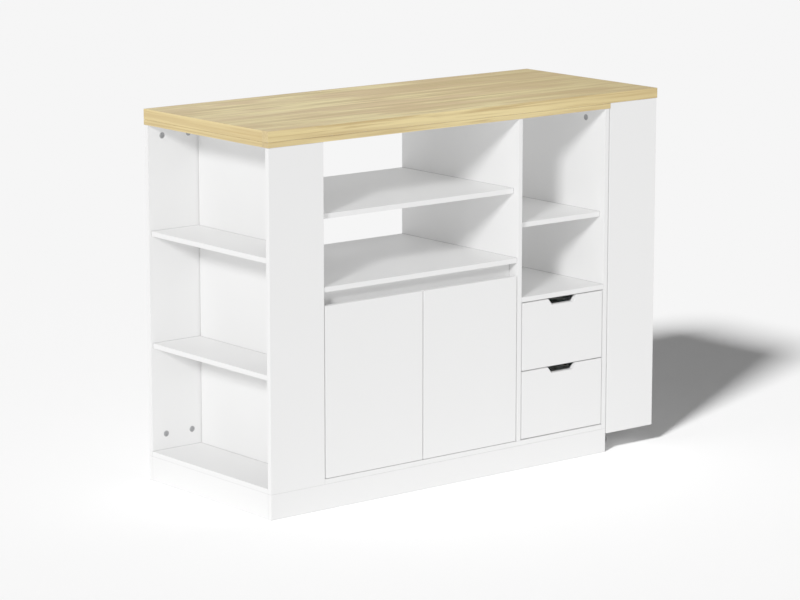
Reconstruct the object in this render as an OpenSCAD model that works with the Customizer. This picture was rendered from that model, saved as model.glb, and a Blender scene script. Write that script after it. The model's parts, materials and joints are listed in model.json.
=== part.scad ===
// Kitchen island with a sliding top on a wheeled leg.
// Origin: middle of the footprint on the floor. +X to the leg, -Y to the doors, +Z up.

/* [Overall] */
// Length of the sliding top
top_len = 1200; // [1150:5:1300]
// Depth of the sliding top, front to back
top_depth = 488; // [470:1:540]
// Height of the worktop above the floor
total_h = 900; // [870:1:950]
// Thickness of every carcass board
board_t = 12; // [12:0.5:15]
// Height of the plinth
plinth_h = 60; // [55:1:75]

/* [Tops] */
// Thickness of the sliding top
top_t = 25; // [22:1:30]
// Thickness of the fixed top under it
counter_t = 12; // [11:0.5:16]
// Thickness of the glide strips that part the two tops
glide_t = 1; // [0.8:0.1:1.6]
// Width of a glide strip
glide_w = 15; // [8:1:25]
// Distance of each glide strip from the middle of the top
glide_y = 200; // [185:1:215]
// How far the top slides out
slide_travel = 600; // [400:10:600]
// Overhang of the top past the carcass, at each end
end_overhang = 2; // [0:0.5:4]
// Overhang of the tops in front of the carcass
front_overhang = 1; // [0:0.5:3]

/* [Carcass] */
// Width of the open end unit
end_unit_w = 156; // [140:1:170]
// Overhang of the tops behind the end unit and the leg
back_overhang = 1; // [0:0.5:3]
// Depth of the middle of the carcass, which stands back behind
body_depth = 443; // [430:1:460]
// Clear width of the drawer bay
bay_w = 268; // [255:1:290]
// Height of the lower end shelf's underside
end_shelf_low_z = 324.5; // [300:0.5:350]
// Height of the upper end shelf's underside
end_shelf_high_z = 596; // [570:0.5:620]
// Gap between the inner walls and the back panels of the end unit and the leg
wall_gap = 3; // [0.5:0.5:5]
// Gap between the short boards and the inner walls
short_board_gap = 1; // [0.5:0.1:2]
// How far the end shelves stand back
end_shelf_setback = 6; // [2:0.5:12]
// Height of the open shelf's underside
open_shelf_z = 680.5; // [660:0.5:700]
// How far the open shelf stands back
open_shelf_setback = 18; // [10:0.5:30]
// Height of the cupboard top's underside
cupboard_top_z = 512.5; // [505:0.5:530]
// How far the cupboard top stands back
cupboard_top_setback = 4; // [0:0.5:8]
// Height of the bay shelf's underside
bay_shelf_z = 594.5; // [570:0.5:620]
// How far the bay shelf stands back
bay_shelf_setback = 16; // [8:0.5:30]
// Height of the drawer deck's underside
deck_z = 414.5; // [405:0.5:430]
// Thickness of the hardboard backs
back_t = 3; // [3:0.5:5]
// Height of the finger rail
rail_h = 72; // [60:1:74]
// How far the finger rail stands back
rail_setback = 32; // [28:0.5:40]

/* [Doors] */
// Thickness of the doors and drawer fronts
front_t = 12; // [12:0.5:14]
// Gap at the sides of the doors and between them
door_gap = 4; // [3.5:0.1:5]
// Gap under the doors
door_bottom_gap = 1.5; // [1:0.1:3]
// Finger gap above the doors
finger_gap = 31.5; // [26:0.5:36]
// Distance of each hinge from the door's end
hinge_inset = 60; // [50:1:90]
// Outer diameter of the hinge cups
cup_d = 26; // [26:0.5:28]
// Depth of the hinge cups
cup_depth = 9; // [9:0.1:9.5]
// Wood left between the cup and the door's edge
cup_edge = 4; // [4:0.1:5]
// Width of a door catch
catch_w = 20; // [12:1:30]
// Height of a door catch
catch_h = 20; // [12:1:30]

/* [Drawers] */
// Gap at the sides of the drawer fronts
drawer_side_gap = 4; // [3:0.1:5]
// Gap over, under and between the drawer fronts
drawer_gap = 3; // [2:0.1:4]
// Length of the drawer boxes
drawer_len = 370; // [340:5:380]
// Height of the drawer boxes
drawer_box_h = 120; // [100:1:125]
// Height of a drawer box above its front's lower edge
drawer_box_up = 12; // [10:0.5:18]
// Thickness of the drawer bottoms
drawer_bottom_t = 3; // [3:0.5:5]
// Depth of the groove that holds a drawer bottom
groove_depth = 5; // [4:0.5:6]
// Width of the grip notch at the top
notch_top_w = 94; // [80:1:120]
// Width of the grip notch at the bottom
notch_bottom_w = 70; // [50:1:78]
// Depth of the grip notch
notch_h = 15; // [12:0.5:20]
// Room for a runner beside the drawer box
runner_room = 13; // [12.5:0.1:14]
// Height of the fixed runner
runner_h = 35; // [30:1:45]
// Length of the runners
runner_len = 350; // [300:5:350]
// Sheet thickness of the runners
runner_t = 1.2; // [1:0.1:1.5]
// How far the drawers slide out
drawer_travel = 280; // [200:10:280]

/* [Leg] */
// Width of the leg
leg_w = 154; // [140:1:170]
// Gap between the carcass and the leg
leg_gap = 4; // [3:0.5:8]
// Height of the leg's underside above the floor
leg_clear = 47; // [47:0.5:52]
// Diameter of the caster wheels
wheel_d = 35; // [32:0.5:35]
// Width of the caster wheels
wheel_w = 16; // [12:0.5:20]
// Distance of the wheel's axle behind the swivel pin
trail = 10; // [8:0.5:11]
// Side of the square caster plate
caster_plate = 36; // [36:1:42]
// Distance of the swivel pin from the leg's inner side
caster_in_x = 36; // [34:1:60]
// Distance of the swivel pins from the leg's front and back
caster_in_y = 53; // [45:1:90]

/* [Fixings] */
// Diameter of the cam locks
cam_d = 15; // [13:0.5:16]
// Depth of the cam locks
cam_depth = 9; // [8.5:0.1:10]
// Distance of the upper cam locks below the fixed top
cam_inset_top = 28; // [24:0.5:34]
// Distance of the lower cam locks above the panels' feet
cam_inset_foot = 50; // [45:0.5:55]
// Diameter of the cam bolts
bolt_d = 6; // [5:0.1:6]
// Diameter of the wooden dowels
dowel_d = 6; // [5:0.1:6]
// Length of a dowel in the end of a board
dowel_in_board = 16; // [12:0.5:20]
// Length of a dowel in the face of a panel
dowel_in_panel = 8; // [6:0.5:9]
// Diameter of the wood screws
screw_d = 3.2; // [2.8:0.1:3.5]

/* [Hidden] */
$fn = 48;

// Colours
oak = [0.85, 0.76, 0.56];
white = [0.93, 0.93, 0.93];
steel = [0.72, 0.73, 0.75];
black = [0.08, 0.08, 0.08];
beech = [0.80, 0.66, 0.46];

// Clearances
hole_clear = 0.1;   // radial room round a fixing in its hole
break_out = 0.05;   // how far a hole runs past a fixing's end
run_clear = 0.05;   // radial room of a turning pin
slide_clear = 0.3;  // room between sliding parts
press_clear = 0.02; // radial room of a fixed axle
past = 1;           // how far a cut runs past the piece that it opens
tip_cover = 3;      // wood left past the tip of a screw

// Stretches along X, as [left, right]
top_x = [-top_len / 2, top_len / 2];
end_x = [top_x[0] + end_overhang, top_x[0] + end_overhang + end_unit_w];
leg_x = [top_x[1] - end_overhang - leg_w, top_x[1] - end_overhang];
counter_x = [top_x[0], leg_x[0] - slide_clear];
carcass_r = leg_x[0] - leg_gap;
inner_wall_x = [end_x[1] - board_t, end_x[1]];
side_x = [carcass_r - board_t, carcass_r];
bay_x = [side_x[0] - bay_w, side_x[0]];
divider_x = [bay_x[0] - board_t, bay_x[0]];
middle_x = [end_x[1], divider_x[0]];
middle_cx = (middle_x[0] + middle_x[1]) / 2;
bay_cx = (bay_x[0] + bay_x[1]) / 2;
leg_inner_x = [leg_x[0], leg_x[0] + board_t];

// Stretches along Y, as [front, back]
top_y = [-top_depth / 2, top_depth / 2];
front_y = top_y[0] + front_overhang;
end_y = [front_y, top_y[1] - back_overhang];
end_inside_y = [end_y[0] + board_t, end_y[1] - board_t];
wall_y = [end_inside_y[0], end_inside_y[1] - wall_gap];
body_y = [front_y, front_y + body_depth];
body_inside_y = [body_y[0] + board_t, body_y[1] - board_t];
fronts_y = [front_y, front_y + front_t];
back_y = [body_y[1] - back_t, body_y[1]];
rail_y = [front_y + rail_setback, front_y + rail_setback + board_t];

// Stretches along Z, as [bottom, top]
top_z = [total_h - top_t, total_h];
counter_z = [top_z[0] - glide_t - counter_t, top_z[0] - glide_t];
plinth_z = [0, plinth_h];
floor_board_z = [plinth_h, plinth_h + board_t];
panel_z = [plinth_h, counter_z[0]];
divider_z = [floor_board_z[1], counter_z[0]];
rail_z = [cupboard_top_z - rail_h, cupboard_top_z];
door_z = [floor_board_z[1] + door_bottom_gap, cupboard_top_z - finger_gap];
leg_z = [leg_clear, top_z[0]];
leg_board_z = [leg_clear, leg_clear + board_t];
drawer_front_h = (deck_z - floor_board_z[1] - 3 * drawer_gap) / 2;
drawer_low_z = floor_board_z[1] + drawer_gap;
drawer_high_z = drawer_low_z + drawer_front_h + drawer_gap;

function board_up(z) = [z, z + board_t];
function mid(r) = (r[0] + r[1]) / 2;

// ---- Boxes: [x stretch, y stretch, z stretch] ----
module slab(box) {
  translate([box[0][0], box[1][0], box[2][0]])
    cube([box[0][1] - box[0][0], box[1][1] - box[1][0], box[2][1] - box[2][0]]);
}

end_front_box = [end_x, [end_y[0], end_y[0] + board_t], panel_z];
end_back_box = [end_x, [end_y[1] - board_t, end_y[1]], panel_z];
inner_wall_box = [inner_wall_x, wall_y, panel_z];
end_bottom_box = [[end_x[0], inner_wall_x[0] - short_board_gap], end_inside_y, floor_board_z];
divider_box = [divider_x, body_y, divider_z];
side_box = [side_x, body_y, panel_z];
bottom_box = [[middle_x[0], side_x[0]], body_y, floor_board_z];
counter_box = [counter_x, top_y, counter_z];
open_shelf_box = [middle_x, [body_y[0] + open_shelf_setback, body_y[1]], board_up(open_shelf_z)];
cupboard_top_box = [middle_x, [body_y[0] + cupboard_top_setback, body_y[1]], board_up(cupboard_top_z)];
bay_shelf_box = [bay_x, [body_y[0] + bay_shelf_setback, body_y[1]], board_up(bay_shelf_z)];
deck_box = [bay_x, body_y, board_up(deck_z)];
rail_box = [middle_x, rail_y, rail_z];
plinth_front_box = [[end_x[0], side_x[1]], [front_y, front_y + board_t], plinth_z];
plinth_left_box = [[end_x[0], end_x[0] + board_t], end_inside_y, plinth_z];
plinth_end_back_box = [end_x, [end_y[1] - board_t, end_y[1]], plinth_z];
plinth_back_box = [[end_x[1], side_x[1]], [body_y[1] - board_t, body_y[1]], plinth_z];
plinth_right_box = [side_x, body_inside_y, plinth_z];
end_stretcher_box = [inner_wall_x, end_inside_y, plinth_z];
divider_stretcher_box = [divider_x, body_inside_y, plinth_z];
leg_front_box = [leg_x, [end_y[0], end_y[0] + board_t], leg_z];
leg_back_box = [leg_x, [end_y[1] - board_t, end_y[1]], leg_z];
leg_inner_box = [leg_inner_x, wall_y, leg_z];
leg_bottom_box = [[leg_inner_x[1] + short_board_gap, leg_x[1]], end_inside_y, leg_board_z];

function end_shelf_box(z) =
  [[end_x[0] + end_shelf_setback, inner_wall_x[0] - short_board_gap], end_inside_y, board_up(z)];
function leg_shelf_box(z) =
  [[leg_inner_x[1] + short_board_gap, leg_x[1] - end_shelf_setback], end_inside_y, board_up(z)];

// ---- Rods: every round fixing is [start point, axis number, length, radius] ----
function rod_stretch(f, i) =
  i == f[1] ? [f[0][i], f[0][i] + f[2]] : [f[0][i] - f[3], f[0][i] + f[3]];
function overlap(a, b) = a[0] < b[1] && b[0] < a[1];
function meets(f, box) = overlap(rod_stretch(f, 0), box[0]) && overlap(rod_stretch(f, 1), box[1])
  && overlap(rod_stretch(f, 2), box[2]);
function unit(i) = [for (k = [0:2]) k == i ? 1 : 0];

module rod(f, wider = 0, longer = 0) {
  translate(f[0] - unit(f[1]) * longer)
    rotate(f[1] == 0 ? [0, 90, 0] : f[1] == 1 ? [-90, 0, 0] : [0, 0, 0])
      cylinder(h = f[2] + 2 * longer, r = f[3] + wider);
}

module drilled(box, rods) {
  difference() {
    slab(box);
    for (f = rods)
      if (meets(f, box)) rod(f, hole_clear, break_out);
  }
}

// Dowels run along axis i across a face at p; side is +1 when the held board lies past the face
function dowel(p, i, side) = [
  p - unit(i) * (side > 0 ? dowel_in_panel : dowel_in_board), i,
  dowel_in_panel + dowel_in_board, dowel_d / 2
];
dowel_edge = 60; // distance of a dowel from a board's front or back edge
function dowels_x(box) = [
  for (y = [box[1][0] + dowel_edge, box[1][1] - dowel_edge])
    for (end = [0, 1])
      dowel([box[0][end], y, mid(box[2])], 0, end == 0 ? 1 : -1)
];
end_dowel_edge = 35; // the same for the short boards of the end unit and the leg
function dowels_y(box) = [
  for (x = [box[0][0] + end_dowel_edge, box[0][1] - end_dowel_edge])
    for (end = [0, 1])
      dowel([x, box[1][end], mid(box[2])], 1, end == 0 ? 1 : -1)
];
rail_dowels = [
  for (end = [0, 1])
    dowel([rail_box[0][end], mid(rail_y), mid(rail_z)], 0, end == 0 ? 1 : -1)
];
// The inner walls are dowelled to the front panels
function dowels_wall(box) = [
  for (z = [box[2][0] + dowel_edge, mid(box[2]), box[2][1] - dowel_edge])
    dowel([mid(box[0]), box[1][0], z], 1, 1)
];
carcass_dowels = concat(
  dowels_x(open_shelf_box), dowels_x(cupboard_top_box), dowels_x(bay_shelf_box), dowels_x(deck_box),
  dowels_x(bottom_box), rail_dowels, dowels_y(end_bottom_box),
  dowels_y(end_shelf_box(end_shelf_low_z)), dowels_y(end_shelf_box(end_shelf_high_z)),
  dowels_wall(inner_wall_box)
);
leg_dowel_rods = concat(
  dowels_y(leg_bottom_box), dowels_y(leg_shelf_box(end_shelf_low_z)),
  dowels_y(leg_shelf_box(end_shelf_high_z)), dowels_wall(leg_inner_box)
);

// Cam locks: [middle of the lock on the panel's face, axis into the panel, side it goes in, up or down]
cam_edge = 71;     // distance of a cam lock from a wall's front or back edge
cam_from_end = 41; // distance of a panel's cam lock from the open end
cam_from_wall = 39; // distance of a panel's cam lock from the inner wall's far face
end_cam_x = [end_x[0] + cam_from_end, end_x[1] - cam_from_wall];
cam_z = [counter_z[0] - cam_inset_top, plinth_h + cam_inset_foot];
cams = concat(
  [for (x = end_cam_x) for (up = [0, 1]) [[x, end_inside_y[1], cam_z[up]], 1, 1, up]],
  [for (x = end_cam_x) for (up = [0, 1]) [[x, end_inside_y[0], cam_z[up]], 1, -1, up]],
  [for (y = [body_y[0] + cam_edge, body_y[1] - cam_edge]) for (up = [0, 1])
    for (wall = [[inner_wall_x[1], -1], [divider_x[1], -1], [side_x[0], 1]])
      [[wall[0], y, cam_z[up]], 0, wall[1], up]]
);
cam_slot_len = 9;       // length of the crossed slot in a cam lock's face
cam_slot_w = 1.2;       // width of that slot
cam_slot_depth = 1;     // depth of that slot
bolt_in_counter = 9;    // length of a bolt in the fixed top
bolt_below_foot = 9;    // length of a bolt below its panel's foot
bolt_from_middle = 2.5; // where the bolt's head lies in the lock
function cam_rod(c) = [c[2] > 0 ? c[0] : c[0] - unit(c[1]) * cam_depth, c[1], cam_depth, cam_d / 2];
function bolt_axis(c) = c[0] + unit(c[1]) * c[2] * board_t / 2;
// Top bolts run up into the fixed top, foot bolts run down into what the panel stands on
function bolt_rod(c) = let (p = bolt_axis(c), foot = p[0] > divider_x[0] && p[0] < divider_x[1]
    ? divider_z[0] : plinth_h)
  c[3] == 0 ? [p + [0, 0, bolt_from_middle], 2, counter_z[0] + bolt_in_counter - p[2] - bolt_from_middle,
    bolt_d / 2]
  : [[p[0], p[1], foot - bolt_below_foot], 2, p[2] - bolt_from_middle - foot + bolt_below_foot, bolt_d / 2];
cam_rods = [for (c = cams) cam_rod(c)];
bolt_rods = [for (c = cams) bolt_rod(c)];

// Screws: a shank into the wood and a head outside it
head_t = 1.2; // height of a screw head
head_d = 6;   // width of a screw head
function shank(p, i, len) = [len > 0 ? p : p + unit(i) * len, i, abs(len), screw_d / 2];
function head(p, i, len) = [len > 0 ? p - unit(i) * head_t : p, i, head_t, head_d / 2];
module screw(s) {
  rod(shank(s[0], s[1], s[2]));
  rod(head(s[0], s[1], s[2]));
}

// Guide shoes on the fixed top and the rails they run in
rail_w = 18;        // outer width of a guide rail
rail_depth = 9;     // depth of a guide rail
rail_wall = 1.5;    // wall of a guide rail
rail_slot = 8;      // slot under a guide rail
guide_y = 150;      // distance of the guide rails from the middle
shoe_len = 24;      // length of a guide shoe
shoe_end = 84;      // distance of the outer shoes from the fixed top's end
shoe_pitch = 270;   // distance between two shoes
rail_margin = 60;   // rail left past the inner shoe at full travel
shoe_x = [counter_x[1] - shoe_end - shoe_pitch, counter_x[1] - shoe_end];
strip_end = 14;     // distance of the rails and glide strips from the fixed top's right end
strip_start = 20;   // distance of the glide strips from its left end
guide_rail_x = [shoe_x[0] - slide_travel - rail_margin, counter_x[1] - strip_end];
shoe_screws = [
  for (x = shoe_x) for (y = [-guide_y, guide_y])
    [[x, y, counter_z[0]], 2, counter_t + glide_t + rail_depth / 2]
];

// Hinges of the left door. The right door's are their mirror image
door_w = (middle_x[1] - middle_x[0] - 3 * door_gap) / 2;
left_door_x = [middle_x[0] + door_gap, middle_x[0] + door_gap + door_w];
hinge_z = [door_z[0] + hinge_inset, door_z[1] - hinge_inset];
cup_wall = 1;        // sheet of the cup
knuckle_r = 2.2;     // radius of the arm's eye
hinge_pin_r = 1;     // radius of the hinge pin
arm_h = 9;           // height of the arm
arm_t = 2;           // thickness of the arm
arm_reach = 16;      // how far the arm passes the pin
plate_off = 8;       // arm's distance behind the door
hinge_plate_h = 16;  // height of the mounting plate
hinge_plate_len = 40;
hinge_hole_front = 12; // distance of a screw from the plate's front end
hinge_hole_back = 8;   // distance of the other screw from its back end
cup_c_x = left_door_x[0] + cup_edge + cup_d / 2;
cup_room = sqrt(pow(cup_d / 2 - cup_wall, 2) - pow(arm_h / 2, 2));
pin_x = cup_c_x - cup_room + knuckle_r + slide_clear;
pin_y = fronts_y[1] - cup_depth + cup_wall + slide_clear + knuckle_r;
hinge_plate_y = [fronts_y[1] + plate_off, fronts_y[1] + plate_off + hinge_plate_len];
left_hinge_screws = [
  for (z = hinge_z) for (y = [hinge_plate_y[0] + hinge_hole_front, hinge_plate_y[1] - hinge_hole_back])
    [[middle_x[0] + arm_t, y, z], 0, -(arm_t + board_t - tip_cover)]
];
right_hinge_screws = [
  for (s = left_hinge_screws) [[2 * middle_cx - s[0][0], s[0][1], s[0][2]], 0, -s[2]]
];

// Runners
runner_flange = 9.5;  // width of the fixed runner's flange
box_x = [bay_x[0] + runner_room, bay_x[1] - runner_room];
runner_start = 7;     // distance of the runners behind the drawer fronts
runner_hole = 30;     // distance of a screw from a runner's end
runner_y = [fronts_y[1] + runner_start, fronts_y[1] + runner_start + runner_len];
function runner_mid_z(front_z) = front_z + drawer_box_up + drawer_box_h / 2;
runner_zs = [runner_mid_z(drawer_low_z), runner_mid_z(drawer_high_z)];
runner_screws = [
  for (z = runner_zs) for (y = [runner_y[0] + runner_hole, runner_y[1] - runner_hole])
    for (wall = [[bay_x[0] + runner_t, -1], [bay_x[1] - runner_t, 1]])
      [[wall[0], y, z], 0, wall[1] * (runner_t + board_t - tip_cover)]
];
wall_screws = concat(shoe_screws, left_hinge_screws, right_hinge_screws, runner_screws);
function shanks(screws) = [for (s = screws) shank(s[0], s[1], s[2])];
carcass_rods = concat(carcass_dowels, cam_rods, bolt_rods, shanks(wall_screws));

// Leg brackets and casters
bracket_t = 2;      // sheet of the leg brackets
bracket_leg = 40;   // length of each bracket's arm
bracket_w = 30;     // width of a bracket
bracket_hole = 12;  // distance of a screw from the end of a bracket's arm
bracket_pitch = 120; // distance between two brackets
bracket_bite = 15;  // length of a screw in the top
bracket_ys = [for (k = [-1.5:1:1.5]) k * bracket_pitch];
bracket_screws = concat(
  [for (y = bracket_ys) [[leg_inner_x[1] + bracket_leg - bracket_hole, y, top_z[0] - bracket_t], 2,
    bracket_t + bracket_bite]],
  [for (y = bracket_ys) [[leg_inner_x[1] + bracket_t, y, top_z[0] - bracket_leg + bracket_hole], 0,
    -(bracket_t + board_t - tip_cover)]]
);
plate_t = 2;        // thickness of the caster plate
swivel_x = leg_x[0] + caster_in_x;
front_swivel = [swivel_x, end_y[0] + caster_in_y];
back_swivel = [swivel_x, end_y[1] - caster_in_y];
plate_hole_edge = 5; // distance of a screw from the caster plate's edges
plate_hole = caster_plate / 2 - plate_hole_edge;
caster_screws = [
  for (c = [front_swivel, back_swivel]) for (i = [-1, 1]) for (j = [-1, 1])
    [[c[0] + i * plate_hole, c[1] + j * plate_hole, leg_clear - plate_t + head_t], 2,
      plate_t - head_t + board_t - tip_cover]
];
leg_rods = concat(leg_dowel_rods, shanks(bracket_screws), shanks(caster_screws));

// ---- Sliding top ----
module c_channel(y) {
  // Guide rail: a box section with a slot along its underside
  difference() {
    slab([guide_rail_x, [y - rail_w / 2, y + rail_w / 2], [top_z[0], top_z[0] + rail_depth]]);
    slab([[guide_rail_x[0] - past, guide_rail_x[1] + past],
      [y - rail_w / 2 + rail_wall, y + rail_w / 2 - rail_wall],
      [top_z[0] + rail_wall, top_z[0] + rail_depth - rail_wall]]);
    slab([[guide_rail_x[0] - past, guide_rail_x[1] + past], [y - rail_slot / 2, y + rail_slot / 2],
      [top_z[0] - past, top_z[0] + rail_wall + past]]);
  }
}

module table_top() {
  color(oak) difference() {
    drilled([top_x, top_y, top_z], leg_rods);
    for (y = [-guide_y, guide_y])
      slab([guide_rail_x, [y - rail_w / 2, y + rail_w / 2], [top_z[0] - past, top_z[0] + rail_depth]]);
  }
}

module guide_rails() {
  color(steel) for (y = [-guide_y, guide_y]) c_channel(y);
}

module guide_shoes() {
  head_half = rail_w / 2 - rail_wall - slide_clear;
  stem_half = rail_slot / 2 - slide_clear;
  head_z = [top_z[0] + rail_wall + slide_clear, top_z[0] + rail_depth - rail_wall - slide_clear];
  color(white) difference() {
    for (x = shoe_x) for (y = [-guide_y, guide_y]) {
      slab([[x - shoe_len / 2, x + shoe_len / 2], [y - stem_half, y + stem_half],
        [counter_z[1], head_z[1]]]);
      slab([[x - shoe_len / 2, x + shoe_len / 2], [y - head_half, y + head_half], head_z]);
    }
    for (f = shanks(shoe_screws)) rod(f, hole_clear, break_out);
  }
}

module glide_strips() {
  color(white) for (y = [-glide_y, glide_y])
    slab([[counter_x[0] + strip_start, counter_x[1] - strip_end], [y - glide_w / 2, y + glide_w / 2],
      [counter_z[1], top_z[0]]]);
}

// ---- Leg ----
module leg_front_panel() { color(white) drilled(leg_front_box, leg_rods); }
module leg_back_panel() { color(white) drilled(leg_back_box, leg_rods); }
module leg_inner_panel() { color(white) drilled(leg_inner_box, leg_rods); }
module leg_bottom_board() { color(white) drilled(leg_bottom_box, leg_rods); }
module leg_shelves() {
  color(white) for (z = [end_shelf_low_z, end_shelf_high_z]) drilled(leg_shelf_box(z), leg_rods);
}
module leg_dowels() { color(beech) for (f = leg_dowel_rods) rod(f); }

module leg_brackets() {
  color(steel) difference() {
    for (y = bracket_ys) {
      slab([[leg_inner_x[1], leg_inner_x[1] + bracket_t], [y - bracket_w / 2, y + bracket_w / 2],
        [top_z[0] - bracket_leg, top_z[0]]]);
      slab([[leg_inner_x[1], leg_inner_x[1] + bracket_leg], [y - bracket_w / 2, y + bracket_w / 2],
        [top_z[0] - bracket_t, top_z[0]]]);
    }
    for (f = shanks(bracket_screws)) rod(f, hole_clear, break_out);
  }
}

module leg_screws() { color(steel) for (s = concat(bracket_screws, caster_screws)) screw(s); }

// Caster sizes, measured down from the plate
crown_h = 6.6;       // height of the fork's crown
crown_r = 11;        // radius of the fork's crown
kingpin_r = 4;       // radius of the swivel pin
kingpin_head_r = 6;  // radius of the swivel pin's head
kingpin_head_t = 1.4;
cheek_t = 3;         // thickness of a fork cheek
cheek_gap = 0.5;     // room between the wheel and a cheek
cheek_r = 8;         // radius of a cheek round the axle
axle_r = 3;          // radius of the wheel axle
wheel_chamfer = 1.5; // bevel at the wheel's rims
crown_z = [leg_clear - plate_t - slide_clear - crown_h, leg_clear - plate_t - slide_clear];
axle_z = wheel_d / 2;
fork_half = wheel_w / 2 + cheek_gap + cheek_t;

module caster_plates() {
  head_z = crown_z[0] - slide_clear - kingpin_head_t;
  color(steel) for (c = [front_swivel, back_swivel]) {
    difference() {
      translate([c[0] - caster_plate / 2, c[1] - caster_plate / 2, leg_clear - plate_t])
        cube([caster_plate, caster_plate, plate_t]);
      for (s = caster_screws) {
        rod(shank(s[0], s[1], s[2]), hole_clear, plate_t);
        rod(head(s[0], s[1], s[2]), hole_clear, break_out);
      }
    }
    translate([c[0], c[1], head_z]) cylinder(h = leg_clear - plate_t - head_z, r = kingpin_r);
    translate([c[0], c[1], head_z]) cylinder(h = kingpin_head_t, r = kingpin_head_r);
  }
}

module across(c, r, half) {
  // A rod along Y through the axle's place behind swivel pin c
  rod([[c[0] - trail, c[1] - half, axle_z], 1, 2 * half, r]);
}

module caster_fork(c) {
  color(black) difference() {
    union() {
      translate([c[0], c[1], crown_z[0]]) cylinder(h = crown_h, r = crown_r);
      slab([[c[0] - trail - cheek_r, c[0]], [c[1] - fork_half, c[1] + fork_half], crown_z]);
      for (side = [-1, 1]) {
        cheek_mid = c[1] + side * (fork_half - cheek_t / 2);
        cheek_y = [cheek_mid - cheek_t / 2, cheek_mid + cheek_t / 2];
        slab([[c[0] - trail - cheek_r, c[0] - trail + cheek_r], cheek_y, [axle_z, crown_z[1]]]);
        rod([[c[0] - trail, cheek_y[0], axle_z], 1, cheek_t, cheek_r]);
      }
    }
    translate([c[0], c[1], crown_z[0] - past])
      cylinder(h = crown_h + 2 * past, r = kingpin_r + run_clear);
    across(c, axle_r + press_clear, fork_half + past);
  }
}

module caster_axle(c) { color(steel) across(c, axle_r, fork_half); }

module caster_wheel(c) {
  half = wheel_w / 2;
  color(black) translate([c[0] - trail, c[1], axle_z]) rotate([90, 0, 0]) rotate_extrude($fn = 96)
    polygon([[axle_r + run_clear, -half], [axle_z - wheel_chamfer, -half], [axle_z, wheel_chamfer - half],
      [axle_z, half - wheel_chamfer], [axle_z - wheel_chamfer, half], [axle_r + run_clear, half]]);
}

module front_caster_fork() { caster_fork(front_swivel); }
module front_caster_axle() { caster_axle(front_swivel); }
module front_caster_wheel() { caster_wheel(front_swivel); }
module back_caster_fork() { caster_fork(back_swivel); }
module back_caster_axle() { caster_axle(back_swivel); }
module back_caster_wheel() { caster_wheel(back_swivel); }

// ---- Carcass ----
module counter_top() { color(oak) drilled(counter_box, carcass_rods); }
module end_front_panel() { color(white) drilled(end_front_box, carcass_rods); }
module end_back_panel() { color(white) drilled(end_back_box, carcass_rods); }
module end_inner_wall() { color(white) drilled(inner_wall_box, carcass_rods); }
module end_bottom_board() { color(white) drilled(end_bottom_box, carcass_rods); }
module end_shelves() {
  color(white) for (z = [end_shelf_low_z, end_shelf_high_z]) drilled(end_shelf_box(z), carcass_rods);
}
module plinth_front() { color(white) drilled(plinth_front_box, carcass_rods); }
module plinth_back() {
  color(white) drilled(plinth_back_box, carcass_rods);
  color(white) drilled(plinth_end_back_box, carcass_rods);
}
module plinth_ends() {
  color(white) drilled(plinth_left_box, carcass_rods);
  color(white) drilled(plinth_right_box, carcass_rods);
}
module plinth_stretchers() {
  color(white) drilled(end_stretcher_box, carcass_rods);
  color(white) drilled(divider_stretcher_box, carcass_rods);
}
module bottom_board() { color(white) drilled(bottom_box, carcass_rods); }
module divider() { color(white) drilled(divider_box, carcass_rods); }
module right_side_panel() { color(white) drilled(side_box, carcass_rods); }
module open_shelf() { color(white) drilled(open_shelf_box, carcass_rods); }
module cupboard_top() { color(white) drilled(cupboard_top_box, carcass_rods); }
module finger_rail() { color(white) drilled(rail_box, carcass_rods); }
module cupboard_back() { color(white) slab([middle_x, back_y, [floor_board_z[1], cupboard_top_z]]); }
module drawer_bay_back() { color(white) slab([bay_x, back_y, [floor_board_z[1], deck_z]]); }
module bay_shelf() { color(white) drilled(bay_shelf_box, carcass_rods); }
module drawer_deck() { color(white) drilled(deck_box, carcass_rods); }

module cam_locks() {
  color(steel) for (k = [0:len(cams) - 1]) difference() {
    rod(cam_rods[k]);
    rod(bolt_rods[k], hole_clear, break_out);
    // Crossed driver slot in the face
    translate(cams[k][0]) rotate(cams[k][1] == 0 ? [0, 90, 0] : [-90, 0, 0])
      for (turn = [0, 90]) rotate([0, 0, turn])
        cube([cam_slot_len, cam_slot_w, cam_slot_depth * 2], center = true);
  }
}
module cam_bolts() { color(steel) for (f = bolt_rods) rod(f); }
module dowels() { color(beech) for (f = carcass_dowels) rod(f); }
module carcass_screws() { color(steel) for (s = wall_screws) screw(s); }

// ---- Doors ----
module flip_door() {
  // Mirror image across the middle of the cupboard
  translate([2 * middle_cx, 0, 0]) mirror([1, 0, 0]) children();
}

module cup_cut(z) {
  translate([cup_c_x, fronts_y[1] + past, z]) rotate([90, 0, 0])
    cylinder(h = cup_depth + past, r = cup_d / 2 + press_clear);
}

module door() {
  color(white) difference() {
    slab([left_door_x, fronts_y, door_z]);
    for (z = hinge_z) cup_cut(z);
  }
}

module hinge_cup(z) {
  pin_half = sqrt(pow(cup_d / 2 - cup_wall, 2) - pow(cup_c_x - pin_x, 2)) + cup_wall / 2;
  color(steel) difference() {
    translate([cup_c_x, fronts_y[1], z]) rotate([90, 0, 0]) cylinder(h = cup_depth, r = cup_d / 2);
    translate([cup_c_x, fronts_y[1] + past, z]) rotate([90, 0, 0])
      cylinder(h = cup_depth + past - cup_wall, r = cup_d / 2 - cup_wall);
  }
  color(steel) translate([pin_x, pin_y, z - pin_half]) cylinder(h = 2 * pin_half, r = hinge_pin_r);
}

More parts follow.
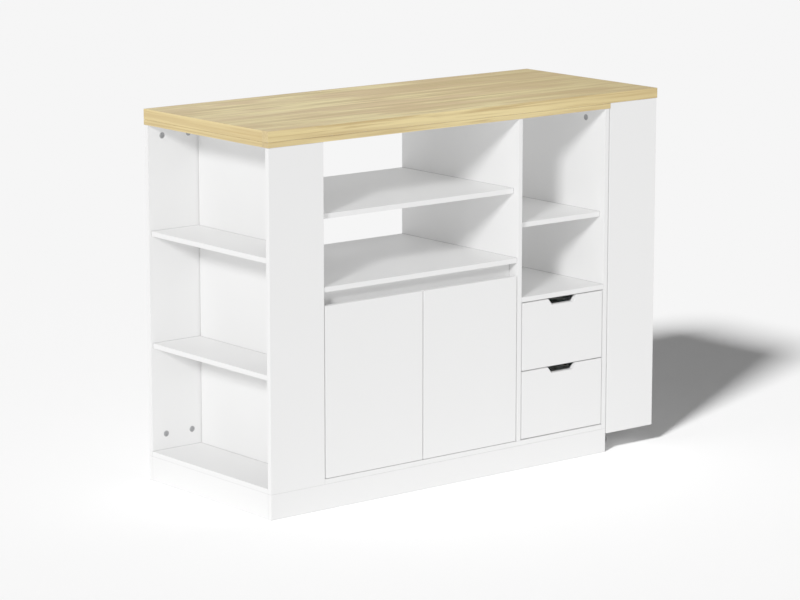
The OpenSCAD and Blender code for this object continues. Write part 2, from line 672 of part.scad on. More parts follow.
module hinge_arm(z) {
  arm_z = [z - arm_h / 2, z + arm_h / 2];
  elbow_x = [pin_x + arm_reach - arm_t, pin_x + arm_reach];
  color(steel) difference() {
    union() {
      translate([pin_x, pin_y, arm_z[0]]) cylinder(h = arm_h, r = knuckle_r);
      slab([[pin_x, elbow_x[1]], [pin_y - arm_t / 2, pin_y + arm_t / 2], arm_z]);
      slab([elbow_x, [pin_y - arm_t / 2, hinge_plate_y[0] + arm_t], arm_z]);
      slab([[middle_x[0], elbow_x[1]], [hinge_plate_y[0], hinge_plate_y[0] + arm_t], arm_z]);
      slab([[middle_x[0], middle_x[0] + arm_t], hinge_plate_y, [z - hinge_plate_h / 2,
        z + hinge_plate_h / 2]]);
    }
    translate([pin_x, pin_y, arm_z[0] - past]) cylinder(h = arm_h + 2 * past, r = hinge_pin_r + run_clear);
    for (f = shanks(left_hinge_screws)) rod(f, hole_clear, break_out);
  }
}

module left_door() { door(); }
module right_door() { flip_door() door(); }
module left_hinge_cups() { for (z = hinge_z) hinge_cup(z); }
module right_hinge_cups() { flip_door() for (z = hinge_z) hinge_cup(z); }
module hinge_arms() {
  for (z = hinge_z) hinge_arm(z);
  flip_door() for (z = hinge_z) hinge_arm(z);
}
catch_up = 5;          // height of a catch above the rail's lower edge
catch_from_middle = 35; // distance of a catch from the line between the doors
module door_catches() {
  catch_z = [rail_z[0] + catch_up, rail_z[0] + catch_up + catch_h];
  color(white) for (side = [-1, 1]) {
    catch_x = middle_cx + side * catch_from_middle;
    slab([[catch_x - catch_w / 2, catch_x + catch_w / 2], [fronts_y[1] + slide_clear, rail_y[0]], catch_z]);
  }
}

// ---- Drawers, each from the height of its front's lower edge ----
bottom_up = 8; // height of a drawer bottom above its box's lower edge
function bottom_panel_z(z) =
  [z + drawer_box_up + bottom_up, z + drawer_box_up + bottom_up + drawer_bottom_t];
box_y = [fronts_y[1], fronts_y[1] + drawer_len];
inside_x = [box_x[0] + board_t, box_x[1] - board_t];
inside_y = [box_y[0], box_y[1] - board_t];
function box_z(z) = [z + drawer_box_up, z + drawer_box_up + drawer_box_h];

module bottom_panel(z, room = 0) {
  grip = groove_depth + room;
  slab([[inside_x[0] - grip, inside_x[1] + grip], [inside_y[0] - grip, inside_y[1] + grip],
    [bottom_panel_z(z)[0] - room, bottom_panel_z(z)[1] + room]]);
}

module drawer_front(z) {
  top = z + drawer_front_h;
  color(white) difference() {
    slab([[bay_x[0] + drawer_side_gap, bay_x[1] - drawer_side_gap], fronts_y, [z, top]]);
    translate([bay_cx, fronts_y[1] + past, top]) rotate([90, 0, 0]) linear_extrude(front_t + 2 * past)
      polygon([[-notch_top_w / 2, 0], [-notch_top_w / 2, past], [notch_top_w / 2, past],
        [notch_top_w / 2, 0], [notch_bottom_w / 2, -notch_h], [-notch_bottom_w / 2, -notch_h]]);
    bottom_panel(z, hole_clear);
  }
}

module drawer_sides(z) {
  color(white) difference() {
    for (x = [[box_x[0], inside_x[0]], [inside_x[1], box_x[1]]]) slab([x, box_y, box_z(z)]);
    bottom_panel(z, hole_clear);
  }
}

module drawer_back(z) {
  color(white) difference() {
    slab([inside_x, [inside_y[1], box_y[1]], box_z(z)]);
    bottom_panel(z, hole_clear);
  }
}

module drawer_bottom(z) { color(white) bottom_panel(z); }

// A runner is a channel: a web against a face at x and two flanges. Side is +1 to open towards +X
module channel(x, side, flange, h, z) {
  web = side > 0 ? [x, x + runner_t] : [x - runner_t, x];
  reach = side > 0 ? [x, x + flange] : [x - flange, x];
  slab([web, runner_y, [z - h / 2, z + h / 2]]);
  for (edge = [-1, 1]) {
    flange_mid = z + edge * (h - runner_t) / 2;
    slab([reach, runner_y, [flange_mid - runner_t / 2, flange_mid + runner_t / 2]]);
  }
}

module fixed_runners() {
  color(steel) difference() {
    for (z = runner_zs) {
      channel(bay_x[0], 1, runner_flange, runner_h, z);
      channel(bay_x[1], -1, runner_flange, runner_h, z);
    }
    for (f = shanks(runner_screws)) rod(f, hole_clear, break_out);
  }
}

module moving_runners(z) {
  inner_h = runner_h - 2 * runner_t - 2 * slide_clear;
  color(steel) channel(box_x[0], -1, runner_flange, inner_h, z);
  color(steel) channel(box_x[1], 1, runner_flange, inner_h, z);
}

module upper_drawer_front() { drawer_front(drawer_high_z); }
module upper_drawer_sides() { drawer_sides(drawer_high_z); }
module upper_drawer_back() { drawer_back(drawer_high_z); }
module upper_drawer_bottom() { drawer_bottom(drawer_high_z); }
module upper_drawer_runners() { moving_runners(runner_zs[1]); }
module lower_drawer_front() { drawer_front(drawer_low_z); }
module lower_drawer_sides() { drawer_sides(drawer_low_z); }
module lower_drawer_back() { drawer_back(drawer_low_z); }
module lower_drawer_bottom() { drawer_bottom(drawer_low_z); }
module lower_drawer_runners() { moving_runners(runner_zs[0]); }

table_top();
guide_rails();
leg_front_panel();
leg_back_panel();
leg_inner_panel();
leg_bottom_board();
leg_shelves();
leg_brackets();
leg_dowels();
leg_screws();
caster_plates();
front_caster_fork();
front_caster_axle();
front_caster_wheel();
back_caster_fork();
back_caster_axle();
back_caster_wheel();
counter_top();
glide_strips();
guide_shoes();
end_front_panel();
end_back_panel();
end_inner_wall();
end_bottom_board();
end_shelves();
plinth_front();
plinth_back();
plinth_ends();
plinth_stretchers();
bottom_board();
divider();
right_side_panel();
open_shelf();
cupboard_top();
finger_rail();
cupboard_back();
drawer_bay_back();
bay_shelf();
drawer_deck();
cam_locks();
cam_bolts();
dowels();
carcass_screws();
hinge_arms();
door_catches();
fixed_runners();
left_door();
left_hinge_cups();
right_door();
right_hinge_cups();
upper_drawer_front();
upper_drawer_sides();
upper_drawer_back();
upper_drawer_bottom();
lower_drawer_front();
lower_drawer_sides();
lower_drawer_back();
lower_drawer_bottom();
upper_drawer_runners();
lower_drawer_runners();
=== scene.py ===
# %% [markdown]
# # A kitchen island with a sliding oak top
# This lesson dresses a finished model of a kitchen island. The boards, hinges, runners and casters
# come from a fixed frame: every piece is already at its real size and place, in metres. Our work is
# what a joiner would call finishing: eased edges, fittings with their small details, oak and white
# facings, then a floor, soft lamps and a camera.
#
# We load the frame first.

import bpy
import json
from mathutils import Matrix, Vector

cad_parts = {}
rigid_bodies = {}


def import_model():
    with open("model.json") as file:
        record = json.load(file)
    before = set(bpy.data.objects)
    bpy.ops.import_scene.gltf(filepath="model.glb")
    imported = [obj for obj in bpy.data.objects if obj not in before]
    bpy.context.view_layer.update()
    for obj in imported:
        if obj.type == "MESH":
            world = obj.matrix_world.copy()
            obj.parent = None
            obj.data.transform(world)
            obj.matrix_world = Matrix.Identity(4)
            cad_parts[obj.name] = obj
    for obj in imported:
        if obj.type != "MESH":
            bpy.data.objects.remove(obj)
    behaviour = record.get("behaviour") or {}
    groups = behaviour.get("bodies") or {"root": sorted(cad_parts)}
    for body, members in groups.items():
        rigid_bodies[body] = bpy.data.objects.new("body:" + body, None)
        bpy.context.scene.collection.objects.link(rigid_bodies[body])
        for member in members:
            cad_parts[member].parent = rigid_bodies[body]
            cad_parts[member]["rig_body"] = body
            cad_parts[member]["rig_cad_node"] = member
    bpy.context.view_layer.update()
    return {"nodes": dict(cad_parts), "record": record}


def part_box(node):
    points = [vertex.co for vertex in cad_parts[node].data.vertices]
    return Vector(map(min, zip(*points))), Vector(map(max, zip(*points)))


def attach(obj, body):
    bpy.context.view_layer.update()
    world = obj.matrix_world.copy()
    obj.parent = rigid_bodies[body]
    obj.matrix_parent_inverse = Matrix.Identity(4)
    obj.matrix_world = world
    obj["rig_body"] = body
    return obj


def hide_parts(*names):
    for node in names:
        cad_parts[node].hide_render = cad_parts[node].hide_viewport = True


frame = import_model()

import json
import math

import bmesh
import bpy
from mathutils import Quaternion, Vector

nodes = frame["nodes"]

# %% [markdown]
# ## Small helpers
# Blender's operators act on whatever is selected, and the frame arrives selected. So every step
# starts by deselecting everything and making one object active. `MM` turns millimetres, which a
# workshop drawing uses, into the metres that Blender uses. Points nearer than `TOUCH` are the same.

# %% Selection helpers
MM = 0.001
TOUCH = 0.01 * MM


def only(piece):
    """Select one piece and make it the active one."""
    bpy.ops.object.select_all(action="DESELECT")
    piece.select_set(True)
    bpy.context.view_layer.objects.active = piece
    return piece


def edit(piece, mode="FACE"):
    """Open one piece in edit mode with nothing selected."""
    only(piece)
    bpy.ops.object.mode_set(mode="EDIT")
    bpy.ops.mesh.select_mode(type=mode)
    bpy.ops.mesh.select_all(action="DESELECT")


def pick(piece, faces=None, edges=None):
    """In edit mode, select only the faces or edges that pass a test."""
    bpy.ops.mesh.select_all(action="DESELECT")
    mesh = bmesh.from_edit_mesh(piece.data)
    mesh.normal_update()
    chosen = [f for f in mesh.faces if faces(f)] if faces else [e for e in mesh.edges if edges(e)]
    for part in chosen:
        part.select_set(True)
    mesh.select_flush_mode()
    bmesh.update_edit_mesh(piece.data)


def done():
    """Leave edit mode."""
    bpy.ops.object.mode_set(mode="OBJECT")


def is_corner(line, degrees=60.0):
    """True for an edge where two faces meet at a clear angle."""
    return len(line.link_faces) == 2 and line.calc_face_angle(0.0) > math.radians(degrees)


def is_level(line):
    """True for an edge that lies flat."""
    return abs(line.verts[0].co.z - line.verts[1].co.z) < TOUCH


print("helpers ready, 1 mm is", MM, "m")

# %% [markdown]
# A new piece begins as a primitive at its size and place. We put the place into the mesh at once,
# so that the numbers in edit mode are the workshop's numbers, and the object itself stays at the
# origin, as the frame's own nodes do.

# %% Start, cut and turn a piece
def start(primitive, scale=(1.0, 1.0, 1.0), **size):
    """Add one primitive and put its place, turn and scale into its mesh."""
    bpy.ops.object.select_all(action="DESELECT")
    primitive(**size)
    piece = bpy.context.view_layer.objects.active
    piece.scale = scale
    bpy.ops.object.transform_apply(location=True, rotation=True, scale=True)
    return piece


def cylinder(radius, low, high, sides=48):
    """A cylinder along Z between two heights."""
    return start(
        bpy.ops.mesh.primitive_cylinder_add,
        vertices=sides,
        radius=radius,
        depth=high - low,
        location=(0.0, 0.0, (low + high) / 2),
    )


def block(low, high):
    """A block between two corners."""
    size = Vector(high) - Vector(low)
    middle = (Vector(high) + Vector(low)) / 2
    return start(bpy.ops.mesh.primitive_cube_add, tuple(size), size=1.0, location=tuple(middle))


def cut(piece, tool):
    """Cut a tool's shape out of a piece, and throw the tool away."""
    only(piece)
    knife = piece.modifiers.new("knife", "BOOLEAN")
    knife.operation = "DIFFERENCE"
    knife.solver = "EXACT"
    knife.object = tool
    bpy.ops.object.modifier_apply(modifier=knife.name)
    bpy.data.objects.remove(tool)


ON_ITS_SIDE = Quaternion((1, 0, 0), math.pi / 2)


def turn(piece, turning, place=(0.0, 0.0, 0.0)):
    """Turn a piece about the origin, move it to its place, and put both into its mesh."""
    only(piece)
    piece.rotation_mode = "QUATERNION"
    piece.rotation_quaternion = turning
    piece.location = place
    bpy.ops.object.transform_apply(location=True, rotation=True, scale=True)
    return piece


def twin(piece):
    """A copy of a piece with its own mesh."""
    only(piece)
    bpy.ops.object.duplicate()
    return bpy.context.view_layer.objects.active


def joined(pieces):
    """Join pieces into one."""
    only(pieces[0])
    for piece in pieces:
        piece.select_set(True)
    bpy.ops.object.join()
    return pieces[0]


def smooth(piece, degrees=10):
    """Smooth the round parts and keep the corners crisp."""
    only(piece)
    bpy.ops.object.shade_smooth_by_angle(angle=math.radians(degrees))


print("piece helpers ready")

# %% [markdown]
# ## Shader maths as plain Python
# A material is a graph of nodes. Wiring a long sum by hand is tiresome and hard to read, so this
# small class wraps a socket: adding or multiplying two of them adds the Math node for us. Any
# other node comes from `Shade.node`, which sets the node's options first and its inputs after.

# %% The shader wrapper
class Shade:
    """One socket of a material's graph that can be used in sums."""

    def __init__(self, tree, socket):
        self.tree = tree
        self.socket = socket

    def _math(self, kind, *values):
        return Shade.node(self.tree, "ShaderNodeMath", {"operation": kind}, dict(enumerate(values)))

    def __add__(self, other):
        return self._math("ADD", self, other)

    __radd__ = __add__

    def __sub__(self, other):
        return self._math("SUBTRACT", self, other)

    def __rsub__(self, other):
        return self._math("SUBTRACT", other, self)

    def __mul__(self, other):
        return self._math("MULTIPLY", self, other)

    __rmul__ = __mul__

    def __abs__(self):
        return self._math("ABSOLUTE", self)

    def under(self, edge):
        """1 where the value is under the edge, else 0."""
        return self._math("LESS_THAN", self, edge)

    def ramp(self, low, high, to_low=0.0, to_high=1.0):
        """A smooth change from one value to another."""
        return Shade.node(
            self.tree,
            "ShaderNodeMapRange",
            {"interpolation_type": "SMOOTHSTEP", "clamp": True},
            {"Value": self, "From Min": low, "From Max": high, "To Min": to_low, "To Max": to_high},
        )

    @staticmethod
    def node(tree, kind, settings, values, output=0):
        """Add a node, set its options, then its inputs, and return one of its outputs."""
        made = tree.nodes.new(kind)
        for key, value in settings.items():
            setattr(made, key, value)
        for key, value in values.items():
            if isinstance(value, Shade):
                tree.links.new(value.socket, made.inputs[key])
            else:
                made.inputs[key].default_value = value
        return Shade(tree, made.outputs[output])


print("shader wrapper ready")

# %% [markdown]
# A new material starts as one Principled shader. `start_material` gives us its graph, the place on
# the object (Object coordinates, so that a pattern stays with the piece), and the shader itself.
# Values that are the same all over go straight onto the shader's sockets.

# %% Start a material
def start_material(name, **constants):
    """A material with a Principled shader whose constant values are set on its own sockets."""
    made = bpy.data.materials.new(name)
    made.use_nodes = True
    tree = made.node_tree
    shader = tree.nodes["Principled BSDF"]
    for key, value in constants.items():
        shader.inputs[key.replace("_", " ")].default_value = value
    place = Shade.node(tree, "ShaderNodeTexCoord", {}, {}, "Object")
    return made, tree, shader, place


def mix_colour(tree, share, first, second):
    """Two colours mixed by a share. The Mix node's colour sockets are the ones numbered here."""
    factor, colour_a, colour_b, result = 0, 6, 7, 2
    values = {factor: share, colour_a: first, colour_b: second}
    return Shade.node(tree, "ShaderNodeMix", {"data_type": "RGBA"}, values, result)


def feed(tree, value, shader, name):
    """Link a value to one of the shader's inputs."""
    tree.links.new(value.socket, shader.inputs[name])


def bump(tree, shader, height, strength, distance):
    """Feed a height into the shader's normal."""
    relief = Shade.node(
        tree, "ShaderNodeBump", {}, {"Strength": strength, "Distance": distance, "Height": height}
    )
    feed(tree, relief, shader, "Normal")


def axes_of(tree, vector):
    """The three parts of a vector, as values."""
    parts = tree.nodes.new("ShaderNodeSeparateXYZ")
    tree.links.new(vector.socket, parts.inputs[0])
    return [Shade(tree, parts.outputs[i]) for i in range(3)]


def stretched(tree, place, scale, offset=(0.0, 0.0, 0.0)):
    """The place, stretched along the axes so that a pattern can run along a board."""
    return Shade.node(
        tree, "ShaderNodeMapping", {}, {"Vector": place, "Scale": scale, "Location": offset}
    )


def noise(tree, place, scale, detail=3.0, roughness=0.5, distortion=0.0):
    """A noise value between 0 and 1."""
    return Shade.node(
        tree,
        "ShaderNodeTexNoise",
        {},
        {
            "Vector": place,
            "Scale": scale,
            "Detail": detail,
            "Roughness": roughness,
            "Distortion": distortion,
        },
    )


print("material helpers ready")

# %% [markdown]
# ## White facing
# The white boards are chipboard faced with melamine: a hard satin skin with a very fine, even
# pebble. A plain white plastic would look like paper, so we add three things that the real facing
# has: the pebble as bump, a roughness that wanders slowly where hands have wiped it, and a colour
# that varies by a hair's breadth.
#
# Where two boards meet, shade draws a fine grey line. We could model a gap, but at this width it would
# be lost between the pixels. So the line is painted shade: the Ambient Occlusion node tells how near
# the next surface is, and we let it darken the facing within 1.8 mm of a joint.

# %% White melamine
# How far the painted shade in the joints reaches, its grey, and how strongly it darkens.
JOINT_SHADE_REACH = 1.8 * MM
JOINT_SHADE_GREY = (0.16, 0.16, 0.17, 1.0)
JOINT_SHADE_SHARE = 0.75
WHITE = 0.82


def white_facing(name, tone):
    """White melamine in a given tone, with painted shade in its joints."""
    made, tree, shader, place = start_material(name, Specular_IOR_Level=0.35)
    cloud = noise(tree, place, scale=3.1)
    pebble = noise(tree, place, scale=900.0, detail=2.0, roughness=0.6)
    wiped = noise(tree, place, scale=14.0, detail=4.0, roughness=0.55)
    dark = (tone * 0.985, tone * 0.985, tone * 0.98, 1.0)
    light = (tone, tone, tone * 0.998, 1.0)
    colour = mix_colour(tree, cloud, dark, light)
    # Painted shade: the facing turns towards grey wherever another surface lies within a couple of
    # millimetres, as in the joints between boards.
    joint_shade = Shade.node(
        tree, "ShaderNodeAmbientOcclusion", {"samples": 6}, {"Distance": JOINT_SHADE_REACH}, "AO"
    )
    colour = mix_colour(tree, joint_shade.ramp(0.45, 0.95, JOINT_SHADE_SHARE, 0.0), colour, JOINT_SHADE_GREY)
    feed(tree, colour, shader, "Base Color")
    feed(tree, wiped.ramp(0.3, 0.7, 0.42, 0.52) + pebble * 0.04, shader, "Roughness")
    bump(tree, shader, pebble, strength=0.06, distance=0.2 * MM)
    return made


white_board = white_facing("white_board", WHITE)
print("made", white_board.name)

# %% [markdown]
# ## Oak facing
# The two tops are faced with light oak. On the flat the grain runs along the length: broad soft
# patches of straw and tan, finer streaks over them, and short dark pores. The edges are banded with
# a yellower oak whose streaks are stronger, and at the ends the grain runs front to back. The front
# band is 22 mm thick, so its end shows as a separate strip at the corner of each board. Underneath,
# out of sight, the boards have a plain white backing, as faced boards do.
#
# The direction of the surface tells us which face we are on, and so which way the grain runs. Each
# kind of face reads the noise at a place of its own, or the same streaks would meet at the corners.
# The last colour steps are painted light and shade: a honey tone that grows away from a spot left of
# the middle paints a pool of light there, and a little umber paints shade at the right, on the lower
# board's ends and on the band's end.

# %% Oak
FRONT_BAND_Y = -222.0 * MM
COUNTER_TOP_Z = 874.5 * MM
STRAW = (0.99, 0.80, 0.31, 1.0)
TAN = (0.76, 0.52, 0.205, 1.0)
HONEY = (0.60, 0.40, 0.115, 1.0)
BUTTER = (0.76, 0.575, 0.215, 1.0)
AMBER = (0.53, 0.37, 0.135, 1.0)
CREAM = (0.66, 0.49, 0.22, 1.0)
BROWN = (0.42, 0.26, 0.08, 1.0)
UMBER = (0.30, 0.19, 0.07, 1.0)
BACKING = (0.82, 0.82, 0.81, 1.0)
END_SHIFT = (3.7, 5.1)
BAND_STRETCH = (1.6, 1.4)
BAND_SHIFT = (9.1, 2.3)
# Where the painted pool of light on the oak is brightest.
PAINTED_LIGHT_X = -100.0 * MM


def oak_grain(tree, place, scale, shift=(0.0, 0.0, 0.0), detail=3.0, roughness=0.5, swirl=0.0):
    """Noise stretched along the grain."""
    return noise(tree, stretched(tree, place, scale, shift), 1.0, detail, roughness, swirl)


def oak_facing(name):
    """Light oak whose grain follows each face of a board."""
    made, tree, shader, place = start_material(name, Specular_IOR_Level=0.3)
    normal = Shade.node(tree, "ShaderNodeNewGeometry", {}, {}, "Normal")
    nx, ny, nz = axes_of(tree, normal)
    x, y, z = axes_of(tree, place)
    on_end = abs(nx).ramp(0.6, 0.8)
    on_flat = abs(nz).ramp(0.6, 0.8)
    below = nz.under(-0.8)
    on_band = on_end * y.under(FRONT_BAND_Y)

    on_board_end = on_end * (1 - on_band)
    along = x * (1 - on_end)
    along += (y + END_SHIFT[0]) * on_board_end
    along += (z * BAND_STRETCH[0] + BAND_SHIFT[0]) * on_band
    across = y * (1 - on_end)
    across += (z + END_SHIFT[1]) * on_board_end
    across += (y * BAND_STRETCH[1] + BAND_SHIFT[1]) * on_band
    grain = Shade.node(tree, "ShaderNodeCombineXYZ", {}, {"X": along, "Y": across, "Z": z})
    patch = oak_grain(tree, grain, (3.2, 17.0, 17.0), swirl=0.4)
    band = oak_grain(tree, grain, (1.6, 48.0, 48.0), (4.0, 2.0, 7.0), roughness=0.6, swirl=0.3)
    streak = oak_grain(tree, grain, (3.4, 170.0, 170.0), detail=4.0, roughness=0.6, swirl=0.2)
    pore = oak_grain(tree, grain, (16.0, 900.0, 900.0), detail=2.0)

    flat = mix_colour(tree, patch.ramp(0.4, 0.6), STRAW, TAN)
    flat = mix_colour(tree, band.ramp(0.46, 0.64, 0.0, 0.85), flat, HONEY)
    flat = mix_colour(tree, streak.ramp(0.5, 0.66, 0.0, 0.75), flat, BROWN)
    edge = mix_colour(tree, band.ramp(0.38, 0.64), BUTTER, AMBER)
    edge = mix_colour(tree, streak.ramp(0.46, 0.64, 0.0, 0.85), edge, BROWN)
    edge = mix_colour(tree, on_band * 0.35, edge, CREAM)
    colour = mix_colour(tree, on_flat, edge, flat)
    colour = mix_colour(tree, pore.ramp(0.6, 0.8, 0.0, 0.3), colour, UMBER)
    # Painted light: the top stays lightest round one spot left of the middle, and a honey tone darkens
    # it further away.
    colour = mix_colour(tree, abs(x - PAINTED_LIGHT_X).ramp(0.1, 0.7, 0.0, 0.42), colour, HONEY)
    # Painted shade: umber darkens the right of the boards, the lower board's ends and the front band's
    # end.
    painted_shade = x.ramp(0.1, 0.6, 0.0, 0.2) + on_end * z.under(COUNTER_TOP_Z) * 0.16 + on_band * 0.24
    colour = mix_colour(tree, painted_shade, colour, UMBER)
    colour = mix_colour(tree, below, colour, BACKING)
    feed(tree, colour, shader, "Base Color")
    feed(tree, streak.ramp(0.3, 0.7, 0.44, 0.56), shader, "Roughness")
    bump(tree, shader, streak * 0.6 + pore * 0.4, strength=0.12, distance=0.3 * MM)
    return made


oak_board = oak_facing("oak_board")
print("made", oak_board.name)

# %% [markdown]
# ## Metals, plastics and beech
# The fittings are small, but each still gets its own finish: zinc plate with fine rolling marks,
# drawn aluminium with lines along the rail, waxy white plastic, textured black nylon, a dull black
# tread, and raw beech for the dowels.

# %% Fittings' materials
def metal(name, colour, rough, grain):
    """A satin metal with fine lines."""
    made, tree, shader, place = start_material(name, Metallic=1.0)
    lines = noise(tree, stretched(tree, place, grain), scale=1.0)
    spots = noise(tree, place, scale=160.0)
    dark = tuple(c * 0.86 for c in colour) + (1.0,)
    tone = mix_colour(tree, spots, dark, tuple(colour) + (1.0,))
    feed(tree, tone, shader, "Base Color")
    feed(tree, lines.ramp(0.3, 0.7, rough - 0.06, rough + 0.08), shader, "Roughness")
    bump(tree, shader, lines, strength=0.08, distance=0.1 * MM)
    return made


def moulded(name, colour, rough, grain_size, depth):
    """A moulded plastic or rubber with a fine texture."""
    made, tree, shader, place = start_material(name)
    texture = noise(tree, place, scale=grain_size, roughness=0.6)
    cloud = noise(tree, place, scale=30.0, detail=2.0)
    light = tuple(min(1.0, c * 1.15 + 0.004) for c in colour) + (1.0,)
    tone = mix_colour(tree, cloud, tuple(colour) + (1.0,), light)
    feed(tree, tone, shader, "Base Color")
    feed(tree, texture.ramp(0.3, 0.7, rough - 0.05, rough + 0.07), shader, "Roughness")
    bump(tree, shader, texture, strength=0.2, distance=depth)
    return made


def raw_beech(name):
    """Pale wood with short flecks."""
    made, tree, shader, place = start_material(name, Roughness=0.6)
    fleck = noise(tree, place, scale=420.0)
    tone = mix_colour(tree, fleck.ramp(0.4, 0.7), (0.62, 0.46, 0.28, 1.0), (0.44, 0.3, 0.17, 1.0))
    feed(tree, tone, shader, "Base Color")
    bump(tree, shader, fleck, strength=0.15, distance=0.2 * MM)
    return made


finishes = {
    "white_board": white_board,
    "oak_board": oak_board,
    "plated_steel": metal("plated_steel", (0.36, 0.365, 0.375), 0.36, (600.0, 600.0, 60.0)),
    "rail_aluminium": metal("rail_aluminium", (0.74, 0.75, 0.76), 0.3, (20.0, 900.0, 900.0)),
    "white_plastic": moulded("white_plastic", (0.72, 0.72, 0.71), 0.42, 700.0, 0.1 * MM),
    "black_plastic": moulded("black_plastic", (0.014, 0.014, 0.014), 0.5, 900.0, 0.2 * MM),
    "wheel_rubber": moulded("wheel_rubber", (0.011, 0.011, 0.011), 0.6, 1200.0, 0.2 * MM),
    "beech": raw_beech("beech"),
}
print("finishes:", sorted(finishes))

# %% [markdown]
# Each node of the frame says which finish it takes, so one loop dresses them all. Pieces that we
# remake further down take their material from the same table.

# %% Dress the frame
slot_of = {part["node"]: part["material_slot"] for part in frame["record"]["subparts"]}


def dress(piece, slot):
    """Give a piece one finish."""
    piece.data.materials.clear()
    piece.data.materials.append(finishes[slot])


for name, node in nodes.items():
    dress(node, slot_of[name])
print("dressed", len(slot_of), "nodes")

# %% [markdown]
# ## Standing in for a node
# A piece that we make ourselves has to say which node of the frame it stands for. It then moves
# with the same body, takes the same finish, and the plain node is hidden.

# %% Stand-in
def stand_for(piece, name, title):
    """Let a finished piece take the place of a node."""
    only(piece)
    bpy.ops.object.transform_apply(location=True, rotation=True, scale=True)
    piece.name = title
    piece.data.name = title
    if not piece.data.materials:
        dress(piece, slot_of[name])
    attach(piece, nodes[name]["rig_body"])
    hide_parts(name)
    print(title, len(piece.data.polygons), "faces")
    return piece


# %% [markdown]
# ## Eased edges
# No sawn board has a knife edge: the edge band is trimmed and its corner is rounded by about half a
# millimetre. That is what draws the fine bright and dark lines where two boards meet. We copy each
# board, merge its loose triangles into clean faces, and bevel the long edges. Short edges belong to
# the drilled holes and stay as they are. The oak tops are eased less, because their seam is fine.
#
# Two things need care. The copy brings normals along that fit its old faces, so we clear them. And a
# board's big faces must stay flat shaded: smoothed, they would take on the tilt of the small bevel
# beside them, and the facing would show slanted bands. Only metal and plastic are smoothed. At a
# corner a bevel can stick out by a few hundredths of a millimetre, so each point is held to the
# node's own box.

# %% Ease the boards
BOARD_EASE = 0.6 * MM
OAK_EASE = 0.35 * MM
LONGEST_HOLE_EDGE = 6.0 * MM


def eased(name, width, shortest, degrees=60.0, segments=2):
    """A copy of a node whose sharp edges, from a shortest length up, are rounded."""
    piece = twin(nodes[name])
    piece.parent = None
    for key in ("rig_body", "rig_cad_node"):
        if key in piece:
            del piece[key]
    edit(piece, "EDGE")
    bpy.ops.mesh.select_all(action="SELECT")
    bpy.ops.mesh.remove_doubles(threshold=TOUCH)
    bpy.ops.mesh.dissolve_limited(angle_limit=math.radians(1.0))

    def to_round(line):
        return is_corner(line, degrees) and line.is_convex and line.calc_length() > shortest

    pick(piece, edges=to_round)
    bpy.ops.mesh.bevel(offset=width, segments=segments, profile=0.5, clamp_overlap=True)
    done()
    lowest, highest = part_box(name)
    for point in piece.data.vertices:
        point.co = [min(max(c, a), b) for c, a, b in zip(point.co, lowest, highest)]
    bpy.ops.mesh.customdata_custom_splitnormals_clear()
    bpy.ops.object.shade_flat()
    if slot_of[name] not in ("white_board", "oak_board"):
        smooth(piece)
    return stand_for(piece, name, name + "_eased")


for name in nodes:
    if slot_of[name] == "white_board":
        eased(name, BOARD_EASE, LONGEST_HOLE_EDGE)
    elif slot_of[name] == "oak_board":
        eased(name, OAK_EASE, LONGEST_HOLE_EDGE)

# %% [markdown]
# ## Pressed and drawn metal
# Sheet steel leaves the press with soft corners, and the drawn rails have them too. The same
# rounding serves, only finer, and here it also takes in shorter edges. The two numbers are the width
# of the rounding and the shortest edge that gets it.

# %% Ease the metal parts
runners = [name for name in nodes if "runners" in name]
for name in runners + ["hinge_arms", "leg_brackets", "guide_rails"]:
    eased(name, 0.25 * MM, 1.5 * MM)
eased("caster_plates", 0.35 * MM, 0.5 * MM)

# %% [markdown]
# The glide strips and the shoes that run in the rails are white plastic. Their corners are softer,
# because a mould can't hold a knife edge either.

# %% Ease the plastic parts
eased("glide_strips", 0.3 * MM, 0.5 * MM)
eased("guide_shoes", 0.5 * MM, 1.0 * MM)

# %% [markdown]
# ## Where the fixings are
# The frame knows where every cam lock and screw goes, so we measure instead of typing numbers. A
# node of fixings is a set of loose solids. `solids_of` walks from point to point along the edges,
# gathers each solid, and gives its two corners and its points.
#
# A fixing also has to look the right way. `outward` counts, at both ends of its axis, the points that
# only its face can have, such as the floor of a driver slot, and takes the end with more of them.

# %% Measure loose solids
def solids_of(name):
    """The loose solids of a node: low corner, high corner, points."""
    mesh = bmesh.new()
    mesh.from_mesh(nodes[name].data)
    bmesh.ops.remove_doubles(mesh, verts=mesh.verts, dist=TOUCH)
    left, found = set(mesh.verts), []
    while left:
        queue, points = [left.pop()], []
        while queue:
            point = queue.pop()
            points.append(point.co.copy())
            for line in point.link_edges:
                other = line.other_vert(point)
                if other in left:
                    left.remove(other)
                    queue.append(other)
        low = Vector([min(p[i] for p in points) for i in range(3)])
        high = Vector([max(p[i] for p in points) for i in range(3)])
        found.append((low, high, points))
    mesh.free()
    return sorted(found, key=lambda solid: tuple(round(c, 4) for c in solid[0]))


def votes(points, end, middle, axis, is_face):
    """How many points pass a face's test, which gets a depth from one end and a distance aside."""
    found = 0
    for point in points:
        aside = point - middle
        aside[axis] = 0.0
        found += is_face(abs(point[axis] - end[axis]), aside.length)
    return found


def outward(name, which_side, is_face):
    """Each fixing's face, the way it looks and its length, along its longest or shortest side."""
    spots = []
    for low, high, points in solids_of(name):
        size = high - low
        axis = list(size).index(which_side(size))
        place = (low + high) / 2
        at_low, at_high = [votes(points, end, place, axis, is_face) for end in (low, high)]
        way = Vector((0.0, 0.0, 0.0))
        way[axis] = -1.0 if at_low > at_high else 1.0
        place[axis] = low[axis] if at_low > at_high else high[axis]
        spots.append((place, way, size[axis]))
    return spots


